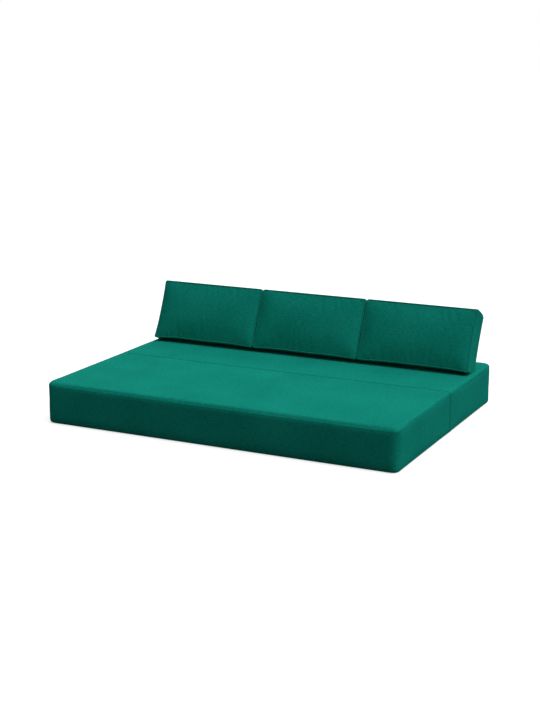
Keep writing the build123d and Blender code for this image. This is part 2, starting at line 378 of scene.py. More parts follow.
@dataclass(frozen=True)
class PlatedMetal:
    """Die-cast zinc with a dull nickel plating."""

    name: str = "nickel_plate"
    colour: Colour = (0.52, 0.53, 0.54)
    dull: Colour = (0.34, 0.35, 0.37)

    def make(self) -> Material:
        """Build the material.

        Returns:
            Metal with tumbling marks and duller patches.
        """
        sketch = NodeSketch(bpy.data.materials.new(self.name))
        place = sketch.add("ShaderNodeTexCoord").outputs["Object"]
        patch = sketch.speckle(place, 260.0, 4.0)
        scuff = sketch.speckle(place, (900, 2600, 900), 2.0)
        tone = sketch.between(patch, (0, 1), 0.35, 0.65)
        rough = sketch.number("MULTIPLY_ADD", tone, -0.12, sketch.between(scuff, (0.34, 0.46)))
        sketch.raised(scuff, 0.12, 0.0001)
        colour = sketch.tinted(tone, self.dull, self.colour)
        return sketch.finish(Base_Color=colour, Roughness=rough, Metallic=1.0)


@dataclass(frozen=True)
class PileTape:
    """Woven tape with a fleece of loops or a bed of hooks."""

    name: str
    dark: Colour
    light: Colour
    pile: float = 1500.0

    def make(self) -> Material:
        """Build the material.

        Returns:
            Tape whose pile stands up in small tufts.
        """
        sketch = NodeSketch(bpy.data.materials.new(self.name))
        place = sketch.add("ShaderNodeTexCoord").outputs["Object"]
        tufts = sketch.add("ShaderNodeTexVoronoi", {"Vector": place, "Scale": self.pile}).outputs["Distance"]
        brushed = sketch.speckle(place, (60, 400, 400), 3.0)
        tone = sketch.number("MULTIPLY_ADD", brushed, 0.5, sketch.number("MULTIPLY", tufts, 0.6))
        colour = sketch.tinted(sketch.between(tone, (0, 1), 0.2, 0.8), self.light, self.dark)
        sketch.raised(sketch.number("SUBTRACT", 1.0, tufts), 0.8, 0.0008)
        rough = sketch.between(brushed, (0.8, 0.96))
        return sketch.finish(Base_Color=colour, Roughness=rough, Specular_IOR_Level=0.15)


class Finishes:
    """All finishes of the sofa, each made once and handed out by the slot it belongs to."""

    def __init__(self) -> None:
        """Make the materials."""
        piping = ("green_piping", (0.0050, 0.195, 0.147), (0.0110, 0.268, 0.205), (420, 420, 420))
        hinge = ("green_hinge_cloth", (0.0020, 0.165, 0.122), (0.0040, 0.225, 0.168), (90, 500, 500))
        tape = ("green_zip_tape", (0.0040, 0.105, 0.082), (0.0060, 0.150, 0.118), (500, 900, 900))
        fleece = ("polyester_wadding", (0.70, 0.70, 0.68), (0.86, 0.86, 0.85), (70, 70, 240))
        looks = {
            "upholstery": MelangeFabric(),
            "seam_piping": SolidCloth(*piping, ribs=0.0016),
            "hinge_fabric": SolidCloth(*hinge, ribs=0.0018),
            "anti_slip_base": GripBase(),
            "foam": CellFoam(),
            "wadding": SolidCloth(*fleece),
            "zip_tape": SolidCloth(*tape, ribs=0.0011),
            "zip_coil": CoilNylon(),
            "zip_metal": PlatedMetal(),
            "loop_tape": PileTape("loop_fleece", (0.006, 0.070, 0.056), (0.012, 0.120, 0.096), 900.0),
            "hook_tape": PileTape("hook_bed", (0.005, 0.055, 0.044), (0.010, 0.098, 0.080), 600.0),
        }
        self.by_slot = {slot: look.make() for slot, look in looks.items()}

    def dress(self, piece: Object, slot: str) -> None:
        """Give a new piece its finish."""
        self.paint(piece, slot)

    def paint(self, piece: Object, slot: str) -> None:
        """Give a piece a finish in place of any that it has."""
        piece.data.materials.clear()
        piece.data.materials.append(self.by_slot[slot])

    def attach(self, piece: Object, slot: str, body: str, *solids: str) -> None:
        """Dress a piece, let it ride on its body and hide the solids that it stands for.

        Args:
            piece: Object to dress.
            slot: Slot of the record.
            body: Body that it moves with.
            *solids: Nodes that it replaces.
        """
        self.dress(piece, slot)
        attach(piece, body)
        if solids:
            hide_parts(*solids)
        log.info("%s fixed to %s", piece.name, body)

    def dress_frame(self, frame: dict) -> None:
        """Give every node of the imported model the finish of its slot.
        """
        for entry in frame["record"]["subparts"]:
            node, slot = frame["nodes"][entry["node"]], entry["material_slot"]
            self.paint(node, slot)
            log.info("%s dressed as %s", node.name, slot)


# Helpers


def only(kind: type, geom: Sequence) -> list:
    """Elements of one kind out of what a mesh operator returns."""
    return [item for item in geom if isinstance(item, kind)]


def placed(name: str, data: object) -> Object:
    """Put an object into the scene.

    Args:
        name: Name of the object.
        data: Its mesh, lamp or camera.

    Returns:
        The object.
    """
    piece = bpy.data.objects.new(name, data)
    bpy.context.scene.collection.objects.link(piece)
    return piece


def axes_at(origin: Vector, *axes: Vector) -> Matrix:
    """Matrix from a form's own axes to the frame."""
    return Matrix.Translation(origin) @ Matrix(axes).transposed().to_4x4()


def arc_inset(radius: float, rise: float) -> float:
    """How far a rounded edge lies inside its wall."""
    return radius - math.sqrt(max(0.0, radius**2 - max(0.0, rise) ** 2))


# Padded forms


@dataclass(frozen=True)
class Station:
    """One ring of a lofted pad: where it lies along the loft and how far its sides are drawn in."""

    level: float
    ends: float
    low: float
    high: float
    held: bool = False


@dataclass
class PadLoft:
    """Closed form of even quads, lofted from a rounded panel through a row of stations.

    Its own axes are the panel's length, the panel's width and the way along the loft.
    """

    half_length: float
    low: float
    high: float
    columns: int
    rows: int
    low_radius: float
    high_radius: float
    stations: Sequence[Station]
    row_stops: Sequence[tuple[int, float]] = ()

    def rectangle(self, station: Station) -> tuple[float, float, float]:
        """Half length and both edges of a station's ring."""
        return self.half_length - station.ends, self.low + station.low, self.high - station.high

    def rounded(self, point: Vector) -> Vector:
        """Pull a point of the flat panel's corner squares into their quarter discs.

        Args:
            point: Point of the rectangle.

        Returns:
            The point on the rounded rectangle.
        """
        x, y = point.x, point.y
        middle = (self.low + self.high) / 2
        radius = self.low_radius if y < middle else self.high_radius
        inner_x = math.copysign(self.half_length - radius, x)
        inner_y = self.low + radius if y < middle else self.high - radius
        a, b = (x - inner_x) * math.copysign(1, x), (y - inner_y) * math.copysign(1, y - middle)
        if radius <= 0 or a <= 0 or b <= 0:
            return point
        pull = max(a, b) / math.hypot(a, b)
        x = inner_x + math.copysign(a * pull, x)
        y = inner_y + math.copysign(b * pull, y - middle)
        return Vector((x, y, point.z))

    def row_place(self, row: float) -> float:
        """Width coordinate of a row, evenly spaced between the rows whose places are given.

        Args:
            row: Number of the row, from the low edge.

        Returns:
            Its coordinate.
        """
        stops = [(0, self.low), *self.row_stops, (self.rows, self.high)]
        for (first, start), (last, end) in zip(stops, stops[1:]):
            if row <= last:
                return start + (row - first) * (end - start) / (last - first)
        return self.high

    def build(self) -> BMesh:
        """Loft the form.

        Returns:
            Mesh with the vertex layers ring and held and the face layer panel.
        """
        form = bmesh.new()
        ring = form.verts.layers.int.new("ring")
        held = form.verts.layers.int.new("held")
        panel = form.faces.layers.int.new("panel")
        bmesh.ops.create_grid(form, x_segments=self.columns, y_segments=self.rows, size=0.5)
        for vert in form.verts:
            x = vert.co.x * 2 * self.half_length
            vert.co = self.rounded(Vector((x, self.row_place((vert.co.y + 0.5) * self.rows), 0)))
        self.move_ring(form, list(form.verts), Station(0, 0, 0, 0), self.stations[0])
        cap = list(form.faces)
        for face in cap:
            face[panel] = Face.FIRST_CAP.value
        previous = self.stations[0]
        for number, station in enumerate(self.stations[1:], 1):
            known = set(form.faces)
            grown = bmesh.ops.extrude_face_region(form, geom=cap)
            if number > 1:
                bmesh.ops.delete(form, geom=cap, context="FACES")
            cap = only(BMFace, grown["geom"])
            verts = only(BMVert, grown["geom"])
            self.move_ring(form, verts, previous, station)
            for vert in verts:
                vert[ring] = number
                vert[held] = int(station.held)
            for face in set(form.faces) - known:
                face[panel] = Face.WALL.value
            for face in cap:
                face[panel] = Face.LAST_CAP.value
            previous = station
        bmesh.ops.recalc_face_normals(form, faces=form.faces)
        return form

    def move_ring(self, form: BMesh, verts: list, old: Station, new: Station) -> None:
        """Move a ring from one station's place and size to another's.

        Args:
            form: Mesh.
            verts: Vertices of the ring.
            old: Station where it is.
            new: Station where it goes.
        """
        half, low, high = self.rectangle(old)
        new_half, new_low, new_high = self.rectangle(new)
        grow = Matrix.Diagonal((new_half / half, (new_high - new_low) / (high - low), 1, 1))
        there = Matrix.Translation((0, (new_low + new_high) / 2, new.level))
        back = Matrix.Translation((0, -(low + high) / 2, -old.level))
        bmesh.ops.transform(form, matrix=there @ grow @ back, verts=verts)


def lay_out_cloth(form: BMesh, shift: float) -> None:
    """Write the UV map in metres, each face laid flat along the axes of its panel.

    Args:
        form: Mesh in its own axes.
        shift: Offset that gives each piece its own stretch of cloth.
    """
    cloth = form.loops.layers.uv.new("cloth")
    for face in form.faces:
        normal = [abs(part) for part in face.normal]
        axes = {0: (1, 2), 1: (0, 2), 2: (0, 1)}[normal.index(max(normal))]
        for loop in face.loops:
            loop[cloth].uv = (loop.vert.co[axes[0]] + shift, loop.vert.co[axes[1]] + 0.37 * shift)


def link_mesh(name: str, form: BMesh) -> Object:
    """Turn a bmesh into a smooth-shaded object at the origin.

    Args:
        name: Name of the object.
        form: Mesh in the frame's place; it is freed.

    Returns:
        The object.
    """
    mesh = bpy.data.meshes.new(name)
    form.to_mesh(mesh)
    form.free()
    mesh.shade_smooth()
    return placed(name, mesh)


class FillingRoom:
    """Blows up all padded pieces with Blender's cloth, in one run of the frames."""

    FRAMES = 20

    def __init__(self) -> None:
        """Start with no pieces."""
        self.fillings: list[tuple[Object, dict[int, float]]] = []

    def take(self, piece: Object, room: dict[int, float], pressure: float, slack: float) -> None:
        """Add a piece to the run.

        Args:
            piece: Object with a closed mesh.
            room: Furthest that each vertex may move, by its number; vertices that aren't named are held.
            pressure: Air pressure inside.
            slack: How much larger than its form the cloth is cut.
        """
        self.fillings.append((piece, room))
        group = piece.vertex_groups.new(name="held")
        group.add([v.index for v in piece.data.vertices if v.index not in room], 1.0, "REPLACE")
        cloth = piece.modifiers.new("cloth", "CLOTH")
        settings = cloth.settings
        settings.vertex_group_mass = "held"
        settings.quality = 6
        settings.mass = 0.35
        settings.tension_stiffness = settings.compression_stiffness = 18
        settings.shear_stiffness = 8
        settings.bending_stiffness = 1.2
        settings.use_pressure = True
        settings.uniform_pressure_force = pressure
        settings.shrink_min = -slack
        settings.effector_weights.gravity = 0
        cloth.collision_settings.use_collision = False

    def run(self) -> None:
        """Step the frames and keep where the cloth went, held within its room."""
        for frame in range(1, self.FRAMES + 1):
            bpy.context.scene.frame_set(frame)
        graph = bpy.context.evaluated_depsgraph_get()
        results = []
        for piece, _ in self.fillings:
            shape = piece.evaluated_get(graph)
            results.append([vert.co.copy() for vert in shape.data.vertices])
        for (piece, room), places in zip(self.fillings, results):
            self.settle(piece, room, places)
        bpy.context.scene.frame_set(1)

    @staticmethod
    def settle(piece: Object, room: dict[int, float], places: list[Vector]) -> None:
        """Write the capped result to the mesh and take the cloth off.

        Args:
            piece: The filled piece.
            room: Furthest that each vertex may move, by its number.
            places: Where the cloth put its vertices.
        """
        for vert in piece.data.vertices:
            reach = room.get(vert.index, 0.0)
            if reach <= 0:
                continue
            step = places[vert.index] - vert.co
            if step.length > 1e-7:
                vert.co += step.normalized() * reach * math.tanh(step.length / reach)
        piece.modifiers.clear()
        piece.vertex_groups.clear()
        log.info("%s filled", piece.name)


def wandering(point: Vector, scale: float, seed: float) -> float:
    """Smooth noise between about -1 and 1 that is the same in each run."""
    return noise.noise(point * scale + Vector((seed, 2.7 * seed, -1.3 * seed)))


def paint_seam_shade(piece: Object, near: Callable[[Vector], float]) -> None:
    """Write the attribute that paints shade into the cloth's seam grooves.

    Args:
        piece: Object.
        near: How much painted seam shade there is at a place, from 0 to 1.
    """
    marks = piece.data.attributes.new("seam", "FLOAT", "POINT")
    for vert, mark in zip(piece.data.vertices, marks.data):
        mark.value = near(vert.co)


def subdivided(piece: Object, levels: int) -> None:
    """Add a Subdivision Surface."""
    smooth = piece.modifiers.new("smooth_cloth", "SUBSURF")
    smooth.levels = smooth.render_levels = levels


@dataclass(frozen=True)
class ZipPlace:
    """Where a zip lies: the middle of its placket's floor, the way it opens and the way out."""

    owner: str
    body: str
    middle: Vector
    along: Vector
    outward: Vector
    length: float
    placket_half_width: float = 0.017
    end_room: float = 0.030
    opening_half_width: float = 0.008
    opening_end_room: float = 0.005
    cloth_level: float = 0.0036
    rim_drop: float = 0.0008
    edge_room: float = 0.0006
    reach: float = 0.03

    @property
    def across(self) -> Vector:
        """Way across the zip."""
        return self.outward.cross(self.along)

    @property
    def matrix(self) -> Matrix:
        """Matrix from the zip's own axes (along, across, outward) to the frame."""
        return axes_at(self.middle, self.along, self.across, self.outward)

    def local(self, place: Vector) -> Vector:
        """A place along, across and out of the zip."""
        offset = place - self.middle
        return Vector((offset.dot(self.along), offset.dot(self.across), offset.dot(self.outward)))

    def within(self, place: Vector, end_room: float, half_width: float) -> bool:
        """Whether a place lies in a strip along the zip, no further from it than its reach.

        Args:
            place: Place in the frame.
            end_room: How far the strip goes on past the zip's ends.
            half_width: Half the strip's width.

        Returns:
            True in the strip.
        """
        here = self.local(place)
        inside = abs(here.x) < self.length / 2 + end_room and abs(here.y) < half_width
        return inside and abs(here.z) < self.reach

    def covers(self, place: Vector) -> bool:
        """Whether a place lies in the sunk strip of cloth round the zip."""
        return self.within(place, self.end_room, self.placket_half_width + self.edge_room)

    def opens(self, place: Vector) -> bool:
        """Whether a place lies in the opening over the coils."""
        return self.within(place, self.opening_end_room, self.opening_half_width)

    def press(self, vert: BMVert) -> bool:
        """Press a vertex of the strip down to the cloth's level in the placket.

        Args:
            vert: Vertex of a cover.

        Returns:
            Whether it lies in the strip.
        """
        inside = self.covers(vert.co) and vert.normal.dot(self.outward) > 0.6
        if inside:
            vert.co += self.outward * (self.cloth_level - self.local(vert.co).z)
        return inside

    def cut(self, piece: Object) -> None:
        """Open the cloth over the coils and turn its edges in.

        Args:
            piece: Filled cover.
        """
        form = bmesh.new()
        form.from_mesh(piece.data)
        faces = [
            face
            for face in form.faces
            if self.opens(face.calc_center_median()) and face.normal.dot(self.outward) > 0.5
        ]
        bmesh.ops.delete(form, geom=faces, context="FACES")
        rim = [
            edge
            for edge in form.edges
            if edge.is_boundary and self.covers(sum((v.co for v in edge.verts), Vector()) / 2)
        ]
        turned = bmesh.ops.extrude_edge_only(form, edges=rim)["geom"]
        verts = only(BMVert, turned)
        bmesh.ops.translate(form, verts=verts, vec=-self.outward * self.rim_drop)
        bmesh.ops.recalc_face_normals(form, faces=form.faces)
        form.to_mesh(piece.data)
        form.free()
        piece.data.shade_smooth()


# Small shapes that the sub-assemblies share


def block_at(form: BMesh, middle: Sequence[float], size: Sequence[float], taper: float = 1.0) -> list:
    """Add a block, narrower at its far end if tapered.

    Args:
        form: Mesh to add to.
        middle: Its centre.
        size: Its size along the three axes.
        taper: Width at the far end of the first axis, as a share of the near end's.

    Returns:
        Vertices of the block.
    """
    verts = bmesh.ops.create_cube(form, size=1.0)["verts"]
    for vert in verts:
        if vert.co.x > 0:
            vert.co.y *= taper
    place = Matrix.Translation(middle) @ Matrix.Diagonal((*size, 1.0))
    bmesh.ops.transform(form, matrix=place, verts=verts)
    return verts


def eased(form: BMesh, edges: Sequence[BMEdge], offset: float, segments: int) -> None:
    """Round edges over.

    Args:
        form: Mesh.
        edges: Edges to round.
        offset: Width of the rounding from the edge.
        segments: Steps in it.
    """
    bmesh.ops.bevel(
        form,
        geom=list(edges),
        offset=offset,
        offset_type="OFFSET",
        affect="EDGES",
        segments=segments,
        profile=0.5,
        material=-1,
    )


def rod(form: BMesh, start: Matrix, radius: float, run: Sequence[float], points: int = 14) -> None:
    """Add a round rod with closed ends.

    Args:
        form: Mesh to add to.
        start: Place and turn of its first end.
        radius: Radius.
        run: Way to its other end.
        points: Corners round it.
    """
    made = bmesh.ops.create_circle(form, cap_ends=True, segments=points, radius=radius, matrix=start)
    cap = list(made["verts"][0].link_faces)
    grown = bmesh.ops.extrude_face_region(form, geom=cap)["geom"]
    bmesh.ops.translate(form, verts=only(BMVert, grown), vec=run)


def along_axis(edges: Sequence[BMEdge], axis: int) -> list[BMEdge]:
    """Edges that run along an axis.

    Args:
        edges: Edges to pick from.
        axis: Number of the axis.

    Returns:
        Those that do.
    """
    found = []
    for edge in edges:
        run = edge.verts[1].co - edge.verts[0].co
        if abs(run[axis]) > 0.999 * run.length:
            found.append(edge)
    return found


def own_edges(verts: Sequence[BMVert]) -> list[BMEdge]:
    """Edges between some vertices.

    Args:
        verts: The vertices.

    Returns:
        Their edges, each once.
    """
    edges: dict[BMEdge, None] = {}
    for vert in verts:
        edges.update(dict.fromkeys(vert.link_edges))
    return list(edges)


def in_a_row(name: str, form: BMesh, step: Vector, count: int) -> Object:
    """Repeat a small shape along a line.

    Args:
        name: Name of the finished object.
        form: The shape at its first place; it is freed.
        step: Way from one copy to the next.
        count: Number of copies.

    Returns:
        One object with all the copies.
    """
    piece = link_mesh(name, form)
    row = piece.modifiers.new("row", "ARRAY")
    row.use_relative_offset = False
    row.use_constant_offset = True
    row.constant_offset_displace = step
    row.count = count
    graph = bpy.context.evaluated_depsgraph_get()
    mesh = bpy.data.meshes.new_from_object(piece.evaluated_get(graph))
    single = piece.data
    piece.modifiers.clear()
    piece.data = mesh
    bpy.data.meshes.remove(single)
    return piece


@dataclass(frozen=True)
class Stitching:
    """Straight rows of thread on flat cloth."""

    length: float = 0.0032
    width: float = 0.0006
    height: float = 0.0003
    pitch: float = 0.0050

    def sew(self, name: str, starts: Sequence[Vector], along: Vector, out: Vector, run: float) -> Object:
        """Sew rows that run side by side.

        Args:
            name: Name of the finished object.
            starts: First end of each row.
            along: Way that the rows run.
            out: Way out of the cloth.
            run: Length of the rows.

        Returns:
            One object with all the rows.
        """
        form = bmesh.new()
        block_at(form, (0, 0, 0), (self.length, self.width, self.height))
        eased(form, along_axis(form.edges, 0), 0.4 * self.height, 1)
        ends = [edge for edge in form.edges if abs(edge.verts[0].co.x - edge.verts[1].co.x) < 1e-9]
        eased(form, ends, 0.3 * self.height, 1)
        whole = bmesh.new()
        single = bpy.data.meshes.new("stitch")
        form.to_mesh(single)
        form.free()
        for start in starts:
            known = set(whole.verts)
            whole.from_mesh(single)
            fresh = [vert for vert in whole.verts if vert not in known]
            place = axes_at(start + along * self.pitch / 2, along, out.cross(along), out)
            bmesh.ops.transform(whole, matrix=place, verts=fresh)
        bpy.data.meshes.remove(single)
        bmesh.ops.recalc_face_normals(whole, faces=whole.faces)
        return in_a_row(name, whole, along * self.pitch, int(run / self.pitch))


# Sub-assemblies


@dataclass
class Fastener:
    """Coil zip on its placket: coils, end stops, a slider, its pull tab, end tacks and stitches."""

    place: ZipPlace
    finishes: Finishes
    coil_pitch: float = 0.0020
    wire_radius: float = 0.00035
    arm_rise: float = 0.00085
    middle_level: float = 0.00285
    outer_reach: float = 0.0030
    bend_reach: float = 0.00175
    stop: tuple[float, float, float] = (0.0030, 0.0060, 0.0024)
    plate: tuple[float, float, float] = (0.0120, 0.0090, 0.0010)
    plate_levels: tuple[float, float] = (0.0009, 0.0048)
    flange: tuple[float, float] = (0.0006, 0.0008)
    flange_y: float = 0.00405
    flange_back: float = 0.0012
    flange_share: float = 0.62
    ear: tuple[float, float] = (0.0011, 0.0021)
    nose: tuple[float, float, float] = (0.0026, 0.0044, 0.0006)
    post: tuple[float, float, float] = (0.0040, 0.0009, 0.0032)
    start_room: float = 0.00525
    ear_offset: float = 0.00225
    pin_level: float = 0.0067
    pin_radius: float = 0.0006
    eye_radius: float = 0.0012
    corner: float = 0.0020
    tab_start: float = 0.0080
    tab: tuple[float, float, float] = (0.0200, 0.0060, 0.0012)
    tab_rim: float = 0.0009
    tab_sink: float = 0.00022
    neck_start: float = 0.0009
    neck: tuple[float, float, float] = (0.0076, 0.0028, 0.0012)
    tack: tuple[float, float, float] = (0.0200, 0.0220, 0.00022)
    tack_level: float = 0.00340
    stitch_reach: float = 0.0112
    stitch_room: float = 0.008
    sharp: float = math.radians(40)

    @property
    def slider_start(self) -> float:
        """Place of the closed zip's slider along the zip."""
        return self.start_room - self.place.length / 2

    def settle(self, form: BMesh) -> BMesh:
        """Turn a form's faces outwards and move it from the zip's own axes to the frame.

        Args:
            form: Form in the zip's axes.

        Returns:
            The same form.
        """
        bmesh.ops.recalc_face_normals(form, faces=form.faces)
        bmesh.ops.transform(form, matrix=self.place.matrix, verts=form.verts)
        return form

    def fit(self, name: str, form: BMesh, slot: str, *where: str, crisp: bool = True) -> None:
        """Put a finished form in its place on the zip.

        Args:
            name: What its name ends with.
            form: Form in the zip's axes.
            slot: Slot of the record.
            *where: Body that it moves with, and the solids that it stands for.
            crisp: Whether its sharp turns stay crisp.
        """
        piece = link_mesh(f"{self.place.owner}_{name}", self.settle(form))
        if crisp:
            piece.data.set_sharp_from_angle(angle=self.sharp)
        self.finishes.attach(piece, slot, *where)

    @staticmethod
    def drawn(form: BMesh, edges: list[BMEdge], way: Vector) -> list[BMEdge]:
        """Draw a loop of edges out into a tube.

        Args:
            form: Mesh.
            edges: The loop.
            way: Way and length.

        Returns:
            Edges of the new loop.
        """
        grown = bmesh.ops.extrude_edge_only(form, edges=edges)["geom"]
        verts = only(BMVert, grown)
        bmesh.ops.translate(form, verts=verts, vec=way)
        fresh = set(verts)
        return [edge for edge in only(BMEdge, grown) if set(edge.verts) <= fresh]

    def coil_pair(self) -> BMesh:
        """One tooth of each coil: wire that goes in above the tape, turns and comes back below.

        Returns:
            Mesh in the zip's own axes, at the first place.
        """
        form = bmesh.new()
        run = self.outer_reach - self.bend_reach
        start = Matrix.Translation((0, self.outer_reach, self.middle_level + self.arm_rise))
        turn = start @ Matrix.Rotation(math.pi / 2, 4, "X")
        bmesh.ops.create_circle(form, segments=5, radius=self.wire_radius, matrix=turn)
        edges = self.drawn(form, list(form.edges), Vector((0, -run, 0)))
        bend = (0, self.bend_reach, self.middle_level)
        bent = bmesh.ops.spin(form, geom=edges, cent=bend, axis=(1, 0, 0), angle=math.pi, steps=4)
        turned = bent["geom_last"]
        self.drawn(form, only(BMEdge, turned), Vector((0, run, 0)))
        bmesh.ops.holes_fill(form, edges=form.edges, sides=5)
        other = bmesh.ops.duplicate(form, geom=form.verts[:] + form.edges[:] + form.faces[:])["geom"]
        verts = only(BMVert, other)
        bmesh.ops.scale(form, vec=(1, -1, 1), verts=verts)
        bmesh.ops.translate(form, vec=(self.coil_pitch / 2, 0, 0), verts=verts)
        first = -self.place.length / 2 + self.stop[0] + self.coil_pitch / 2
        bmesh.ops.translate(form, vec=(first, 0, 0), verts=form.verts)
        return self.settle(form)

    def build_coils(self) -> None:
        """Make the coils and the stops at their ends."""
        owner, body = self.place.owner, self.place.body
        count = int((self.place.length - 2 * self.stop[0]) / self.coil_pitch)
        step = self.place.along * self.coil_pitch
        coils = in_a_row(f"{owner}_zip_coils", self.coil_pair(), step, count)
        self.finishes.attach(coils, "zip_coil", body, f"{owner}_zip_chain")
        form = bmesh.new()
        for end in (-1, 1):
            block_at(form, (end * (self.place.length - self.stop[0]) / 2, 0, self.middle_level), self.stop)
        eased(form, form.edges, 0.0005, 2)
        self.fit("zip_stops", form, "zip_metal", body, crisp=False)
        log.info("%s with %d coils a side", coils.name, count)

    def build_slider(self) -> None:
        """Make the slider: two tapered plates with turned-in sides, a post, two ears and their pin."""
        form = bmesh.new()
        start = self.slider_start
        low, high = self.plate_levels
        for level in (low, high):
            verts = block_at(form, (start, 0, level), self.plate, taper=0.80)
            eased(form, along_axis(own_edges(verts), 2), self.corner, 4)
        for side in (-1, 1):
            for level, rise in ((low, 1), (high, -1)):
                middle = (start - self.flange_back, side * self.flange_y, level + rise * self.flange[1])
                block_at(form, middle, (self.flange_share * self.plate[0], *self.flange))
            ear = (start, side * self.ear_offset, self.pin_level - 0.00045)
            verts = block_at(form, ear, (2 * self.eye_radius, *self.ear))
            top = [e for e in along_axis(own_edges(verts), 1) if e.verts[0].co.z > self.pin_level]
            eased(form, top, 0.0009, 3)
        rims = [e for e in form.edges if e.is_manifold and e.calc_face_angle(0.0) > 1.0]
        eased(form, rims, 0.00018, 2)
        block_at(form, (start, 0, (low + high) / 2), self.post)
        nose = block_at(form, (start - 0.0040, 0, high + self.nose[2]), self.nose, taper=0.6)
        eased(form, own_edges(nose), 0.00022, 2)
        pin = Matrix.Translation((start, -self.ear_offset, self.pin_level))
        turn = Matrix.Rotation(-math.pi / 2, 4, "X")
        rod(form, pin @ turn, self.pin_radius, (0, 2 * self.ear_offset, 0))
        solid = f"{self.place.owner}_zip_slider"
        self.fit("slider_casting", form, "zip_metal", solid, solid)

    def build_pull(self) -> None:
        """Make the pull tab: a tab with a sunk panel on each side, a neck, and an eye round the pin."""
        form = bmesh.new()
        start = self.slider_start
        middle = (start + self.tab_start + self.tab[0] / 2, 0, self.pin_level)
        tab = block_at(form, middle, self.tab, taper=0.88)
        eased(form, along_axis(own_edges(tab), 2), self.corner, 4)
        panels = [face for face in form.faces if abs(face.normal.z) > 0.99]
        for face in panels:
            way = -face.normal * self.tab_sink
            bmesh.ops.inset_region(form, faces=[face], thickness=self.tab_rim, use_even_offset=True)
            bmesh.ops.translate(form, verts=face.verts, vec=way)
        eased(form, [e for e in form.edges if e.is_manifold and e.calc_face_angle(0.0) > 1.2], 0.0002, 2)
        middle = (start + self.neck_start + self.neck[0] / 2, 0, self.pin_level)
        neck = block_at(form, middle, self.neck)
        eased(form, along_axis(own_edges(neck), 0), 0.0003, 2)
        half = self.neck[1] / 2
        hole = self.pin_radius + 0.0001
        section = ((hole, -half), (self.eye_radius, -half), (self.eye_radius, half), (hole, half))
        outline = [form.verts.new((start + radius, w, self.pin_level)) for radius, w in section]
        loop = [form.edges.new((a, b)) for a, b in zip(outline, outline[1:] + outline[:1])]
        bmesh.ops.spin(
            form,
            geom=loop,
            cent=(start, 0, self.pin_level),
            axis=(0, 1, 0),
            angle=math.tau,
            steps=18,
            use_merge=True,
        )
        bmesh.ops.remove_doubles(form, verts=form.verts, dist=1e-7)
        solid = f"{self.place.owner}_zip_pull"
        self.fit("pull_tab", form, "zip_metal", solid, solid)

    def close_ends(self) -> None:
        """Cover the ends of the tapes with small tacks of cloth, past the stops."""
        form = bmesh.new()
        for end in (-1, 1):
            middle = (end * (self.place.length + self.tack[0] + 0.0004) / 2, 0, self.tack_level)
            block_at(form, middle, self.tack)
        eased(form, along_axis(form.edges, 2), 0.0012, 3)
        self.fit("zip_end_tacks", form, "zip_tape", self.place.body)

    def stitch(self) -> None:
        """Sew the cloth down on both sides of the opening."""
        place = self.place
        starts = [
            place.middle
            - place.along * (place.length / 2 + self.stitch_room)
            + place.across * side * self.stitch_reach
            + place.outward * (place.cloth_level + 0.0001)
            for side in (-1, 1)
        ]
        name, run = f"{place.owner}_zip_stitches", place.length + 2 * self.stitch_room
        rows = Stitching().sew(name, starts, place.along, place.outward, run)
        self.finishes.attach(rows, "seam_piping", place.body)

    def build(self) -> None:
        """Make all the pieces of the zip."""
        self.build_coils()
        self.build_slider()
        self.build_pull()
        self.close_ends()
        self.stitch()


@dataclass
class FabricHinge:
    """Cloth-covered cord in the fold and the stitches that hold the tapes down the blocks' seam walls."""

    seam_y: float = 0.025
    half_length: float = 0.858
    cord_radius: float = 0.0011
    cord_level: float = 0.2035
    tape_face: float = 0.0002
    row_levels: tuple[float, float] = (0.1690, 0.1990)
    row_room: float = 0.004

    def build(self, finishes: Finishes) -> None:
        """Make the cord and the stitches.

        Args:
            finishes: The sofa's finishes.
        """
        form = bmesh.new()
        start = Matrix.Translation((-self.half_length, self.seam_y, self.cord_level))
        turn = Matrix.Rotation(math.pi / 2, 4, "Y")
        rod(form, start @ turn, self.cord_radius, (2 * self.half_length, 0, 0))
        rims = [e for e in form.edges if abs(e.verts[0].co.x - e.verts[1].co.x) < 1e-9]
        eased(form, rims, 0.0006, 3)
        bmesh.ops.subdivide_edges(form, edges=along_axis(form.edges, 0), cuts=40)
        bmesh.ops.recalc_face_normals(form, faces=form.faces)
        piece = link_mesh("covered_hinge_cord", form)
        finishes.attach(piece, "hinge_fabric", "rear_block", "hinge_cord")
        for side in Side:
            owner, out = side.name.lower(), Vector((0, -side.value, 0))
            x, y = -self.half_length + self.row_room, self.seam_y + side.value * self.tape_face
            starts = [Vector((x, y, level)) for level in self.row_levels]
            run = 2 * self.half_length - 2 * self.row_room
            rows = Stitching().sew(f"{owner}_hinge_stitches", starts, Vector((1, 0, 0)), out, run)
            finishes.attach(rows, "seam_piping", f"{owner}_block")


